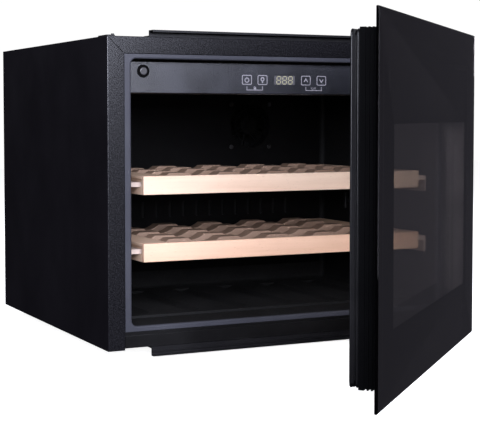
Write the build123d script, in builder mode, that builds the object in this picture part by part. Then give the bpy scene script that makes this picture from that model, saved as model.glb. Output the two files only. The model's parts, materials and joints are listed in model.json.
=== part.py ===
from build123d import *
import os

# Built-in wine cooler for a 45 cm niche: foamed steel cabinet, hinged glass door, two wooden shelves.
# X runs to the right, Y into the cabinet and Z up. The origin is the centre of the cabinet's underside.
# The door stands part open, at the angle SWING.

os.makedirs("parts", exist_ok=True)

# Cabinet shell
WIDTH, HEIGHT, DEPTH = 560.0, 426.0, 497.0
LEFT, RIGHT = -WIDTH / 2, WIDTH / 2
FRONT, BACK = -DEPTH / 2, DEPTH / 2
SKIN = 0.8  # painted sheet steel
STILE = 24.5  # width of the side panels' front flange
HEADER = 23.0  # height of the top panel's front flange
LIP = 10.0  # return lip behind the flanges
SEAM = 0.35  # half of the gap in a mitre

# Liner and its opening, depths measured from the front plane
OPENING_W = 490.0
OPENING_Z0, OPENING_Z1 = 32.0, 396.0
FLOOR_Z = 35.5
CAVITY_D = 332.0
RECESS_D = 400.0  # evaporator recess, above the machine space
RECESS_Z0, RECESS_Z1 = 222.0, 386.0
LINER = 1.6
PITCH = 79.0  # bottle pitch
GROOVE_R, GROOVE_DEEP = 27.0, 4.5

# Machine space behind the lower half
MACHINE_D, MACHINE_Z = 365.0, 208.0

# Shelves
SHELF_W, SHELF_H = 444.0, 25.6
RAIL_D0, RAIL_T = 15.0, 8.0  # front rail: distance behind the front plane, thickness
BOARD_W, BOARD_D1 = 40.0, 300.0
SHELF_LOW, SHELF_HIGH = 117.0, 210.0
RUNNER_Z = 10.6  # runner's underside above the shelf's underside

# Control fascia and door opener
FASCIA_D, FASCIA_Z0, FASCIA_Z1 = 20.0, 350.0, 392.6
OPENER_X, OPENER_Z = -220.0, 380.0
PLUNGER_R, OPENER_BORE = 5.4, 5.45

# Fans: centre, in front view
FAN_X, FAN_Z = 100.0, 302.0
COOL_X, COOL_Z = -130.0, 105.0

# Door, laid out closed about its pivot, then turned by SWING
SWING = 43.6
PIVOT_X, PIVOT_Y, PIN_R, PIN_BORE = 270.0, FRONT - 8.0, 2.5, 2.55
GLASS_W, GLASS_H, GLASS_T = 595.0, 455.0, 4.0
GLASS_Y0 = -32.0  # outer face, from the pivot
FRAME_Y1 = -3.5  # back face of the frame profiles
FRAME_W, FRAME_Z0, FRAME_Z1, PROFILE_W = 551.0, 7.0, 419.0, 26.0

DOOR = Plane((PIVOT_X, PIVOT_Y, 0)).rotated((0, 0, SWING))
GLASS_X0, GLASS_X1 = -GLASS_W / 2 - PIVOT_X, GLASS_W / 2 - PIVOT_X
GLASS_Z0 = (HEIGHT - GLASS_H) / 2
GLASS_Z1 = GLASS_Z0 + GLASS_H
FRAME_X0, FRAME_X1 = -FRAME_W / 2 - PIVOT_X, FRAME_W / 2 - PIVOT_X


def facing(y):
    """Drawing plane at depth y that looks at the front: its x is X, its y is Z, its normal is -Y."""
    return Plane.XZ.offset(-y)


def door_facing(y):
    """The same plane laid out on the door, y millimetres from its pivot."""
    return Plane(DOOR.from_local_coords(Vector(0, y, 0)), x_dir=DOOR.x_dir, z_dir=-DOOR.y_dir)


def slab(x0, x1, y0, y1, z0, z1, mode=Mode.ADD):
    """Block between two opposite corners, in the part being built."""
    with Locations((x0, y0, z0)):
        Box(x1 - x0, y1 - y0, z1 - z0, align=(Align.MIN, Align.MIN, Align.MIN), mode=mode)


def save(part, name):
    part.label = name
    export_step(part, f"parts/{name}.step")


# ---- Cabinet shell ----

mitre = HEADER / STILE

with BuildPart() as left_side_panel:
    with BuildSketch() as plan:
        with BuildLine():
            Polyline(
                (LEFT, BACK),
                (LEFT, FRONT),
                (LEFT + STILE, FRONT),
                (LEFT + STILE, FRONT + LIP),
                (LEFT + STILE - SKIN, FRONT + LIP),
                (LEFT + STILE - SKIN, FRONT + SKIN),
                (LEFT + SKIN, FRONT + SKIN),
                (LEFT + SKIN, BACK),
                close=True,
            )
        make_face()
        fillet(plan.vertices().sort_by_distance((LEFT, FRONT, 0))[0], radius=1.5)
        fillet(plan.vertices().sort_by_distance((LEFT + SKIN, FRONT + SKIN, 0))[0], radius=0.7)
        fillet(plan.vertices().sort_by_distance((LEFT + STILE, FRONT, 0))[0], radius=0.7)
    extrude(amount=HEIGHT - SKIN)
    with BuildSketch(facing(FRONT - 1)):
        with BuildLine():
            Polyline(
                (LEFT + SKIN, HEIGHT - mitre * SKIN - SEAM),
                (LEFT + STILE + 1, HEIGHT - mitre * (STILE + 1) - SEAM),
                (LEFT + STILE + 1, HEIGHT + 1),
                (LEFT + SKIN, HEIGHT + 1),
                close=True,
            )
        make_face()
    extrude(amount=-(LIP + 2), mode=Mode.SUBTRACT)

with BuildPart() as right_side_panel:
    mirror(left_side_panel.part, about=Plane.YZ)
    slab(230, RIGHT - SKIN, FRONT - 1, FRONT + 47, -1, 2.7, mode=Mode.SUBTRACT)

with BuildPart() as top_panel:
    slab(LEFT, RIGHT, FRONT, BACK, HEIGHT - SKIN, HEIGHT)
    with BuildSketch(facing(FRONT)):
        with BuildLine():
            Polyline(
                (LEFT + (SKIN + SEAM) / mitre, HEIGHT - SKIN),
                (LEFT + STILE, HEIGHT - HEADER + SEAM),
                (RIGHT - STILE, HEIGHT - HEADER + SEAM),
                (RIGHT - (SKIN + SEAM) / mitre, HEIGHT - SKIN),
                close=True,
            )
        make_face()
    extrude(amount=-SKIN)
    slab(LEFT + STILE, RIGHT - STILE, FRONT, FRONT + LIP, HEIGHT - HEADER + SEAM, HEIGHT - HEADER + SKIN)
    fillet(top_panel.edges().filter_by(Axis.X).sort_by_distance((0, FRONT, HEIGHT))[0], radius=0.7)
    with Locations((-180, FRONT + 12, HEIGHT), (-60, FRONT + 12, HEIGHT), (60, FRONT + 12, HEIGHT)):
        Hole(radius=2.1, depth=2)
    with Locations((180, FRONT + 12, HEIGHT), (244, FRONT + 34, HEIGHT), (268, FRONT + 34, HEIGHT)):
        Hole(radius=2.1, depth=2)

with BuildPart() as base_pan:
    slab(LEFT + SKIN, RIGHT - SKIN, FRONT + 20.2, BACK - SKIN, 0, SKIN)
    slab(230, RIGHT, FRONT, FRONT + 46.2, -1, 2, mode=Mode.SUBTRACT)
    with BuildSketch(Plane.XY.offset(-1)):
        with Locations((COOL_X, FRONT + 430)):
            with GridLocations(20, 0, 10, 1):
                SlotOverall(60, 7, rotation=90)
    extrude(amount=3, mode=Mode.SUBTRACT)

# Folded channel between the stiles, with a recessed band under the liner's flange
with BuildPart() as bottom_front_rail:
    with BuildSketch(Plane.YZ.offset(LEFT + STILE + 0.3)):
        with BuildLine():
            Polyline(
                (FRONT + 0.3, 2.6),
                (FRONT + 20, 2.6),
                (FRONT + 20, 4.1),
                (FRONT + 1.8, 4.1),
                (FRONT + 1.8, 18.5),
                (FRONT + 4, 18.5),
                (FRONT + 4, 24.4),
                (FRONT + 2.5, 24.4),
                (FRONT + 2.5, 20),
                (FRONT + 0.3, 20),
                close=True,
            )
        make_face()
    extrude(amount=WIDTH - 2 * STILE - 0.6)
    fillet(bottom_front_rail.edges().filter_by(Axis.X).sort_by_distance((0, FRONT, 20))[0], radius=1.0)
    slab(230, RIGHT, FRONT, FRONT + 47, 0, 2.7, mode=Mode.SUBTRACT)

with BuildPart() as rear_panel:
    slab(LEFT + SKIN, RIGHT - SKIN, BACK - SKIN, BACK, SKIN, HEIGHT - SKIN)
    with BuildSketch(facing(BACK + 1)):
        with Locations((-5, 118)):
            with GridLocations(50, 18, 8, 8):
                SlotOverall(40, 6)
    extrude(amount=4, mode=Mode.SUBTRACT)
    slab(215.9, 244.1, BACK - 3, BACK + 3, 29.9, 50.1, mode=Mode.SUBTRACT)

with BuildPart() as inner_liner:
    wall_x = OPENING_W / 2 + LINER
    slab(-wall_x, wall_x, FRONT + 1, FRONT + CAVITY_D + LINER, 28.4, OPENING_Z1 + LINER)
    slab(-wall_x, wall_x, FRONT + CAVITY_D, FRONT + RECESS_D + LINER, RECESS_Z0 - LINER, OPENING_Z1 + LINER)
    slab(-254.7, 254.7, FRONT + 1, FRONT + 6, 24.7, HEIGHT - HEADER - 0.5)
    with BuildSketch(facing(FRONT)):
        with Locations((0, (OPENING_Z0 + OPENING_Z1) / 2)):
            RectangleRounded(OPENING_W, OPENING_Z1 - OPENING_Z0, 8)
    extrude(amount=-65, mode=Mode.SUBTRACT)
    with BuildPart(mode=Mode.PRIVATE) as cavity:
        with BuildSketch(facing(FRONT + 60)):
            with Locations((0, (FLOOR_Z + OPENING_Z1) / 2)):
                RectangleRounded(OPENING_W, OPENING_Z1 - FLOOR_Z, 8)
        extrude(amount=-(CAVITY_D - 60))
        fillet(cavity.faces().sort_by(Axis.Y)[-1].edges(), radius=7)
    add(cavity.part, mode=Mode.SUBTRACT)
    fillet(
        inner_liner.faces().sort_by(Axis.Y)[0].inner_wires()[0].edges(),
        radius=2.5,
    )
    slab(-225, 225, FRONT + CAVITY_D - 1, FRONT + RECESS_D, RECESS_Z0, RECESS_Z1, mode=Mode.SUBTRACT)
    groove_z = FLOOR_Z - GROOVE_DEEP + GROOVE_R
    for i in range(6):
        groove_x = (i - 2.5) * PITCH
        with Locations(Location((groove_x, FRONT + 200, groove_z), (90, 0, 0))):
            Cylinder(GROOVE_R, 210, mode=Mode.SUBTRACT)
        with Locations((groove_x, FRONT + 95, groove_z)):
            Sphere(GROOVE_R, mode=Mode.SUBTRACT)

with BuildPart() as insulation_foam:
    slab(LEFT + SKIN, RIGHT - SKIN, FRONT + 12, BACK - SKIN, 5, HEIGHT - SKIN)
    slab(LEFT + SKIN, RIGHT - SKIN, FRONT + 48, FRONT + MACHINE_D, SKIN, 5)
    slab(LEFT, RIGHT, FRONT + MACHINE_D, BACK, 0, MACHINE_Z, mode=Mode.SUBTRACT)
    slab(-wall_x, wall_x, FRONT, FRONT + CAVITY_D + LINER, 28.4, OPENING_Z1 + LINER, mode=Mode.SUBTRACT)
    slab(
        -wall_x,
        wall_x,
        FRONT + CAVITY_D,
        FRONT + RECESS_D + LINER,
        RECESS_Z0 - LINER,
        OPENING_Z1 + LINER,
        mode=Mode.SUBTRACT,
    )
    for x, y in ((-180, 12), (-60, 12), (60, 12), (180, 12), (244, 34), (268, 34)):
        with Locations((x, FRONT + y, HEIGHT - SKIN)):
            Hole(radius=3, depth=6)

with BuildPart() as compressor_bulkhead:
    with BuildSketch(Plane.YZ.offset(LEFT + SKIN)):
        with BuildLine():
            Polyline(
                (FRONT + MACHINE_D, SKIN),
                (FRONT + MACHINE_D + 1, SKIN),
                (FRONT + MACHINE_D + 1, MACHINE_Z - 1),
                (BACK - SKIN, MACHINE_Z - 1),
                (BACK - SKIN, MACHINE_Z),
                (FRONT + MACHINE_D, MACHINE_Z),
                close=True,
            )
        make_face()
    extrude(amount=WIDTH - 2 * SKIN)

# ---- Cooling system ----


def fan_frame(plane, size, bore, pitch, depth=25.0):
    """Square axial fan housing; the plane's origin is the fan's centre on its front face."""
    with BuildPart(plane) as frame:
        Box(size, size, depth, align=(Align.CENTER, Align.CENTER, Align.MAX))
        fillet(frame.edges().filter_by(lambda e: abs(e.tangent_at(0).dot(plane.z_dir)) > 0.99), radius=4)
        Cylinder(bore, depth, align=(Align.CENTER, Align.CENTER, Align.MAX), mode=Mode.SUBTRACT)
        with GridLocations(pitch, pitch, 2, 2):
            Cylinder(2.15, depth, align=(Align.CENTER, Align.CENTER, Align.MAX), mode=Mode.SUBTRACT)
        with Locations((0, 0, -depth)):
            Cylinder(17, 2.4, align=(Align.CENTER, Align.CENTER, Align.MIN))
            with PolarLocations((bore + 16) / 2, 4, start_angle=45):
                Box(bore - 15, 4, 2.4, align=(Align.CENTER, Align.CENTER, Align.MIN))
            Cylinder(2.0, 14, align=(Align.CENTER, Align.CENTER, Align.MIN))
    return frame.part


def fan_rotor(plane, tip, depth=25.0):
    """Seven-bladed rotor that runs on the pin of the housing made by fan_frame."""
    with BuildPart(plane) as rotor:
        with Locations((0, 0, -2)):
            Cylinder(16, depth - 6, align=(Align.CENTER, Align.CENTER, Align.MAX))
        fillet(rotor.edges().filter_by(GeomType.CIRCLE).sort_by(Axis.Y)[0], radius=2)
        with Locations((0, 0, -2 - (depth - 6) / 2)):
            with PolarLocations((tip + 14) / 2, 7):
                with Locations(Location((0, 0, 0), (32, 0, 0))):
                    Box(tip - 15, 1.8, depth - 8)
        with Locations((0, 0, -depth)):
            Cylinder(2.05, 15.5, align=(Align.CENTER, Align.CENTER, Align.MIN), mode=Mode.SUBTRACT)
    return rotor.part


evaporator_fan = Plane((FAN_X, FRONT + CAVITY_D, FAN_Z), x_dir=(1, 0, 0), z_dir=(0, -1, 0))
condenser_fan = Plane((COOL_X, FRONT + 440, COOL_Z), x_dir=(1, 0, 0), z_dir=(0, -1, 0))
circulation_fan_frame = fan_frame(evaporator_fan, 80, 38.3, 71.5)
circulation_fan_rotor = fan_rotor(evaporator_fan, 36)
condenser_fan_frame = fan_frame(condenser_fan, 120, 58, 105)
condenser_fan_rotor = fan_rotor(condenser_fan, 55)

with BuildPart() as evaporator_cover:
    slab(-235, 235, FRONT + CAVITY_D - 1.8, FRONT + CAVITY_D, 64, 386)
    with BuildSketch(facing(FRONT + CAVITY_D)):
        with Locations((FAN_X, FAN_Z)):
            Circle(37)
        with Locations((0, 165)):
            with GridLocations(24, 0, 15, 1):
                SlotOverall(26, 5, rotation=90)
    extrude(amount=4, mode=Mode.SUBTRACT)
    with BuildSketch(facing(FRONT + CAVITY_D)):
        with Locations((FAN_X, FAN_Z)):
            for radius in (9, 18.5, 28):
                Circle(radius + 0.8)
                Circle(radius - 0.8, mode=Mode.SUBTRACT)
            with PolarLocations(22, 6, start_angle=30):
                Rectangle(32, 1.6)
            Circle(7)
    extrude(amount=1.8)
    with BuildSketch(facing(FRONT + CAVITY_D)):
        with Locations((FAN_X, FAN_Z)):
            with GridLocations(71.5, 71.5, 2, 2):
                Circle(2.15)
    extrude(amount=4, mode=Mode.SUBTRACT)

# Aluminium plate with the refrigerant channel blown up on its front
with BuildPart() as evaporator_plate:
    slab(-205, 30, FRONT + 372, FRONT + 373.5, 228, 378)
    with BuildSketch(facing(FRONT + 372)):
        with BuildLine() as channel:
            FilletPolyline(
                (20, 236),
                (-190, 236),
                (-190, 262),
                (10, 262),
                (10, 288),
                (-190, 288),
                (-190, 314),
                (10, 314),
                (10, 340),
                (-190, 340),
                (-190, 366),
                (20, 366),
                radius=10,
            )
        trace(channel.line, line_width=9)
    extrude(amount=2)

# Welded shell on a mounting plate
with BuildPart() as compressor:
    with BuildSketch(facing(FRONT + 431)) as half_section:
        with BuildLine():
            Polyline((120, 20), (164, 20), (172, 34), (172, 149), (120, 149), close=True)
        make_face()
        fillet(half_section.vertices().sort_by_distance((172, FRONT + 431, 149))[0], radius=34)
    revolve(axis=Axis((120, FRONT + 431, 0), (0, 0, 1)))
    slab(45, 195, FRONT + 396, FRONT + 466, 17, 20)
    with Locations((172, FRONT + 431, 60)):
        Cylinder(4, 12, rotation=(0, 90, 0))

with BuildPart() as compressor_relay:
    slab(44, 66.5, FRONT + 413, FRONT + 449, 58, 104)
    fillet(compressor_relay.edges().filter_by(Axis.Z).group_by(Axis.X)[0], radius=4)

with BuildPart() as compressor_grommets:
    with Locations((120, FRONT + 431, SKIN)):
        with GridLocations(130, 50, 2, 2):
            Cylinder(9, 17 - SKIN, align=(Align.CENTER, Align.CENTER, Align.MIN))
            with Locations((0, 0, 6)):
                Torus(9, 1.6, mode=Mode.SUBTRACT)

COIL_X0, COIL_X1, COIL_Z0, COIL_PITCH, COIL_D = -225.0, -30.0, 25.0, 22.0, 400.0
with BuildPart() as condenser_tube:
    points = [(COIL_X1, FRONT + COIL_D, COIL_Z0)]
    for run in range(8):
        x = COIL_X0 if run % 2 == 0 else COIL_X1 - 20
        if run == 7:
            x = COIL_X1
        z = COIL_Z0 + COIL_PITCH * run
        points.append((x, FRONT + COIL_D, z))
        if run < 7:
            points.append((x, FRONT + COIL_D, z + COIL_PITCH))
    with BuildLine() as serpentine:
        FilletPolyline(*points, radius=10.5)
    with BuildSketch(Plane(points[0], x_dir=(0, 1, 0), z_dir=(-1, 0, 0))):
        Circle(2.4)
    sweep()

with BuildPart() as condenser_wires:
    for i in range(13):
        with Locations((COIL_X0 + 18 + i * 12, FRONT + COIL_D + 3.3, 104)):
            Cylinder(0.8, 178)

with BuildPart() as filter_drier:
    with BuildSketch(facing(FRONT + COIL_D)):
        with BuildLine():
            Polyline((0, 70), (2.6, 70), (2.6, 74), (8, 82), (8, 138), (2.6, 146), (2.6, 150), (0, 150), close=True)
        make_face()
    revolve(axis=Axis((0, FRONT + COIL_D, 0), (0, 0, 1)))

with BuildPart() as refrigerant_lines:
    y = FRONT + COIL_D
    with BuildLine() as to_drier:
        FilletPolyline((COIL_X1, y, 179), (0, y, 179), (0, y, 150), radius=12)
    with BuildSketch(Plane((COIL_X1, y, 179), x_dir=(0, 1, 0), z_dir=(1, 0, 0))):
        Circle(2.4)
    sweep()
    with BuildLine() as discharge:
        FilletPolyline((COIL_X1, y, 25), (32, y, 25), (32, y, 126), (76, y, 126), radius=12)
    with BuildSketch(Plane((COIL_X1, y, 25), x_dir=(0, 1, 0), z_dir=(1, 0, 0))):
        Circle(2.4)
    sweep(path=discharge.wire())
    with BuildLine() as suction:
        FilletPolyline((178, FRONT + 431, 60), (190, FRONT + 431, 60), (190, FRONT + 431, 206.9), radius=10)
    with BuildSketch(Plane((178, FRONT + 431, 60), x_dir=(0, 1, 0), z_dir=(1, 0, 0))):
        Circle(3)
    sweep(path=suction.wire())

with BuildPart() as drip_tray:
    with BuildSketch(Plane.XY.offset(150.2)):
        with Locations((112, FRONT + 431)):
            RectangleRounded(130, 96, 12)
    extrude(amount=22)
    with BuildSketch(Plane.XY.offset(152.2)):
        with Locations((112, FRONT + 431)):
            RectangleRounded(126, 92, 10)
    extrude(amount=21, mode=Mode.SUBTRACT)

with BuildPart() as power_board_box:
    slab(216, RIGHT - SKIN, FRONT + 384, FRONT + 474, 70, 170)
    fillet(power_board_box.edges().filter_by(Axis.Y).group_by(Axis.X)[0], radius=5)
    with BuildSketch(Plane.YZ.offset(210)):
        with Locations((FRONT + 429, 120)):
            with GridLocations(14, 0, 5, 1):
                SlotOverall(60, 4, rotation=90)
    extrude(amount=7.5, mode=Mode.SUBTRACT)

with BuildPart() as power_inlet:
    slab(216, 244, BACK - 22, BACK + 0.1, 30, 50)
    slab(205, 255, BACK + 0.1, BACK + 2, 27, 53)
    fillet(power_inlet.edges().filter_by(Axis.Y).group_by(Axis.Y)[-1], radius=3)
    slab(219, 241, BACK - 16, BACK + 3, 33, 47, mode=Mode.SUBTRACT)
    for x, z in ((223, 38), (230, 43), (237, 38)):
        slab(x - 1, x + 1, BACK - 17, BACK - 3, z - 2, z + 2)

# ---- Controls ----

with BuildPart() as control_fascia:
    half = OPENING_W / 2 - 0.3
    with BuildSketch(facing(FRONT + FASCIA_D)) as face:
        with Locations((0, (FASCIA_Z0 + FASCIA_Z1) / 2)):
            Rectangle(2 * half, FASCIA_Z1 - FASCIA_Z0)
        fillet(face.vertices().group_by(Axis.Y)[-1], radius=7.5)
    extrude(amount=-2.5)
    slab(-half, half, FRONT + FASCIA_D + 2, FRONT + 96, FASCIA_Z0, FASCIA_Z0 + 2)
    fillet(control_fascia.edges().filter_by(Axis.X).sort_by_distance((0, FRONT + FASCIA_D, FASCIA_Z0))[0], 1.0)
    with Locations(Location((OPENER_X, FRONT + FASCIA_D, OPENER_Z), (90, 0, 0))):
        Cylinder(9.05, 8, mode=Mode.SUBTRACT)
    slab(-17, 17, FRONT + FASCIA_D - 1, FRONT + FASCIA_D + 4, 363.5, 376.5, mode=Mode.SUBTRACT)
    slab(-60, 60, FRONT + 44, FRONT + 56, FASCIA_Z0 - 1, FASCIA_Z0 + 3, mode=Mode.SUBTRACT)

with BuildPart() as display_window:
    slab(-16.9, 16.9, FRONT + FASCIA_D + 0.2, FRONT + FASCIA_D + 8, 363.6, 376.4)

with BuildPart() as control_pcb:
    slab(-104, 104, FRONT + FASCIA_D + 8, FRONT + FASCIA_D + 9.6, 354, 388)
    for x in (-61, -36, 35, 61):
        slab(x - 6, x + 6, FRONT + FASCIA_D + 2.6, FRONT + FASCIA_D + 8, 364, 376)

with BuildPart() as lamp_lens:
    slab(-59.9, 59.9, FRONT + 44.1, FRONT + 55.9, FASCIA_Z0 - 0.4, FASCIA_Z0 + 5)
    fillet(lamp_lens.edges().group_by(Axis.Z)[0], radius=0.6)

with BuildPart() as temperature_sensor:
    with Locations((240.5, FRONT + 250, 176)):
        Cylinder(3.2, 26)
    fillet(temperature_sensor.edges().filter_by(GeomType.CIRCLE), radius=1.5)
    slab(240.5, 245, FRONT + 247, FRONT + 253, 172, 180)

opener_front = Plane((OPENER_X, FRONT + FASCIA_D, OPENER_Z), x_dir=(1, 0, 0), z_dir=(0, -1, 0))

with BuildPart(opener_front) as opener_ring:
    with Locations((0, 0, 1.2)):
        Cylinder(9.0, 3.6, align=(Align.CENTER, Align.CENTER, Align.MAX))
        Cylinder(OPENER_BORE, 3.6, align=(Align.CENTER, Align.CENTER, Align.MAX), mode=Mode.SUBTRACT)
    fillet(opener_ring.edges().filter_by(GeomType.CIRCLE).group_by(Axis.Y)[0], radius=0.6)

with BuildPart(opener_front) as opener_housing:
    with Locations((0, 0, -2.6)):
        Cylinder(9.5, 46, align=(Align.CENTER, Align.CENTER, Align.MAX))
        Cylinder(OPENER_BORE, 43, align=(Align.CENTER, Align.CENTER, Align.MAX), mode=Mode.SUBTRACT)

with BuildPart(opener_front) as opener_plunger:
    with Locations((0, 0, 2.8)):
        Cylinder(PLUNGER_R, 30, align=(Align.CENTER, Align.CENTER, Align.MAX))
    fillet(opener_plunger.edges().filter_by(GeomType.CIRCLE).sort_by(Axis.Y)[0], radius=1.0)
    with Locations((0, 0, -27.2)):
        Cylinder(4.4, 24, align=(Align.CENTER, Align.CENTER, Align.MIN), mode=Mode.SUBTRACT)

with BuildPart() as opener_spring:
    with BuildLine() as coil:
        Helix(pitch=5, height=38, radius=3.4, center=(OPENER_X, FRONT + 64.5, OPENER_Z), direction=(0, -1, 0))
    with BuildSketch(Plane(coil.line @ 0, z_dir=coil.line % 0)):
        Circle(0.5)
    sweep()

# ---- Niche trims, hinge plates and screws ----

with BuildPart() as top_trim:
    with BuildSketch(Plane.YZ.offset(-219)):
        with BuildLine():
            Polyline(
                (FRONT + 20, HEIGHT),
                (FRONT + 20, HEIGHT + 1.6),
                (FRONT + 1.6, HEIGHT + 1.6),
                (FRONT + 1.6, HEIGHT + 8.6),
                (FRONT - 14, HEIGHT + 8.6),
                (FRONT - 14, HEIGHT + 5.6),
                (FRONT - 12.6, HEIGHT + 5.6),
                (FRONT - 12.6, HEIGHT + 7.1),
                (FRONT, HEIGHT + 7.1),
                (FRONT, HEIGHT),
                close=True,
            )
        make_face()
    extrude(amount=438)
    with Locations((-180, FRONT + 12, HEIGHT + 1.6), (-60, FRONT + 12, HEIGHT + 1.6)):
        Hole(radius=2.1, depth=4)
    with Locations((60, FRONT + 12, HEIGHT + 1.6), (180, FRONT + 12, HEIGHT + 1.6)):
        Hole(radius=2.1, depth=4)

with BuildPart() as bottom_trim:
    with BuildSketch(Plane.YZ.offset(-217.5)):
        with BuildLine():
            Polyline(
                (FRONT + 20, 0),
                (FRONT + 20, 2.4),
                (FRONT - 1.6, 2.4),
                (FRONT - 1.6, -3.2),
                (FRONT - 4.4, -3.2),
                (FRONT - 4.4, -4.6),
                (FRONT - 1.6, -4.6),
                (FRONT - 1.6, -8.5),
                (FRONT - 8, -8.5),
                (FRONT - 8, -10),
                (FRONT - 0.1, -10),
                (FRONT - 0.1, 0),
                close=True,
            )
        make_face()
    extrude(amount=435)

with BuildPart() as hinge_plate_top:
    slab(236, 278, FRONT, FRONT + 46, HEIGHT, HEIGHT + 2.5)
    slab(263, 277, PIVOT_Y, FRONT, HEIGHT, HEIGHT + 2.5)
    with Locations((PIVOT_X, PIVOT_Y, HEIGHT)):
        Cylinder(7, 2.5, align=(Align.CENTER, Align.CENTER, Align.MIN))
    with Locations((PIVOT_X, PIVOT_Y, HEIGHT + 2.5)):
        Hole(radius=PIN_R, depth=3)
    with Locations((244, FRONT + 34, HEIGHT + 2.5), (268, FRONT + 34, HEIGHT + 2.5)):
        Hole(radius=2.1, depth=3)

with BuildPart() as hinge_plate_bottom:
    slab(236, 278, FRONT, FRONT + 46, 0, 2.5)
    slab(263, 277, PIVOT_Y, FRONT, 0, 2.5)
    with Locations((PIVOT_X, PIVOT_Y, 0)):
        Cylinder(7, 2.5, align=(Align.CENTER, Align.CENTER, Align.MIN))
    with Locations((PIVOT_X, PIVOT_Y, 2.5)):
        Hole(radius=PIN_R, depth=3)

with BuildPart() as hinge_pins:
    with Locations((PIVOT_X, PIVOT_Y, 418)):
        Cylinder(PIN_R, HEIGHT + 2.5 - 418, align=(Align.CENTER, Align.CENTER, Align.MIN))
    with Locations((PIVOT_X, PIVOT_Y, HEIGHT + 2.5)):
        Cylinder(4.5, 1.6, align=(Align.CENTER, Align.CENTER, Align.MIN))
    with Locations((PIVOT_X, PIVOT_Y, 0)):
        Cylinder(PIN_R, 8, align=(Align.CENTER, Align.CENTER, Align.MIN))
        Cylinder(4.5, 1.6, align=(Align.CENTER, Align.CENTER, Align.MAX))

with BuildPart() as pan_head_screws:
    with Locations(*((x, FRONT + 12, HEIGHT + 1.6) for x in (-180, -60, 60, 180))):
        Cylinder(3.6, 2.2, align=(Align.CENTER, Align.CENTER, Align.MIN))
        Cylinder(2.0, 6, align=(Align.CENTER, Align.CENTER, Align.MAX))
    with Locations((244, FRONT + 34, HEIGHT + 2.5), (268, FRONT + 34, HEIGHT + 2.5)):
        Cylinder(3.6, 2.2, align=(Align.CENTER, Align.CENTER, Align.MIN))
        Cylinder(2.0, 6, align=(Align.CENTER, Align.CENTER, Align.MAX))
    with Locations(evaporator_fan.offset(1.8)):
        with GridLocations(71.5, 71.5, 2, 2):
            Cylinder(3.6, 2.2, align=(Align.CENTER, Align.CENTER, Align.MIN))
            Cylinder(2.0, 12, align=(Align.CENTER, Align.CENTER, Align.MAX))
    fillet(pan_head_screws.edges().filter_by(GeomType.CIRCLE).filter_by(lambda e: abs(e.radius - 3.6) < 0.01), 0.5)

with BuildPart() as hinge_hole_cover:
    slab(LEFT + 1, LEFT + 13, FRONT + 2, FRONT + 38, HEIGHT, HEIGHT + 1.5)
    fillet(hinge_hole_cover.edges().filter_by(Axis.Z), radius=2)
    with Locations((LEFT + 10, FRONT + 5, HEIGHT)):
        Cylinder(2, 3.2, align=(Align.CENTER, Align.CENTER, Align.MIN))

# Steel bars on the liner's walls; each carries one grooved side board
with BuildPart() as shelf_runners:
    for level in (SHELF_LOW, SHELF_HIGH):
        z = level + RUNNER_Z
        with BuildSketch(facing(FRONT + 30)):
            with BuildLine():
                Polyline(
                    (OPENING_W / 2, z - 18),
                    (OPENING_W / 2, z + 6.4),
                    (217, z + 6.4),
                    (217, z),
                    (OPENING_W / 2 - 2, z),
                    (OPENING_W / 2 - 2, z - 18),
                    close=True,
                )
            make_face()
            mirror(about=Plane.YZ)
        extrude(amount=-280)

# ---- Shelves ----


def shelf_rail(level):
    with BuildPart() as rail:
        slab(
            -SHELF_W / 2,
            SHELF_W / 2,
            FRONT + RAIL_D0,
            FRONT + RAIL_D0 + RAIL_T,
            level,
            level + SHELF_H,
        )
        fillet(rail.edges(), radius=0.8)
    return rail.part


def shelf_boards(level):
    """Two side boards; the deep groove rides on a runner and the shallow one above it clears it."""
    with BuildPart() as boards:
        with BuildSketch(facing(FRONT + RAIL_D0 + RAIL_T)):
            with BuildLine():
                outer, inner = SHELF_W / 2, SHELF_W / 2 - BOARD_W
                Polyline(
                    (inner, level),
                    (outer, level),
                    (outer, level + 10.3),
                    (outer - 6, level + 10.3),
                    (outer - 6, level + 17.3),
                    (outer - 3, level + 17.3),
                    (outer - 3, level + 21.7),
                    (outer, level + 21.7),
                    (outer, level + SHELF_H),
                    (inner, level + SHELF_H),
                    close=True,
                )
            make_face()
            mirror(about=Plane.YZ)
        extrude(amount=-(BOARD_D1 - RAIL_D0 - RAIL_T))
        fillet(boards.edges().filter_by(Axis.Y).group_by(Axis.Z)[-1], radius=1.2)
    return boards.part


def shelf_slats(level):
    """Cross slats with hollows that keep the bottles apart."""
    reach = SHELF_W / 2 - BOARD_W
    hollow, low, high = 40.0, level + 20.0, level + 28.4
    with BuildPart() as slats:
        for d in (40, 94, 152, 210, 268):
            with BuildSketch(facing(FRONT + d)):
                with Locations((0, (level + 14 + high) / 2)):
                    Rectangle(2 * reach, high - level - 14)
                for i in range(6):
                    with Locations(((i - 2.5) * PITCH, low + hollow)):
                        Circle(hollow, mode=Mode.SUBTRACT)
            extrude(amount=-26)
        fillet(slats.edges().filter_by(GeomType.CIRCLE), radius=0.8)
    return slats.part


# ---- Door ----

with BuildPart(DOOR) as door_glass:
    slab(GLASS_X0, GLASS_X1, GLASS_Y0, GLASS_Y0 + GLASS_T, GLASS_Z0, GLASS_Z1)
    chamfer(door_glass.faces().filter_by(lambda f: f.normal_at().dot(DOOR.y_dir) > 0.99).edges(), 0.6)
    chamfer(door_glass.faces().filter_by(lambda f: f.normal_at().dot(DOOR.y_dir) < -0.99).edges(), 1.2)

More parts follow.
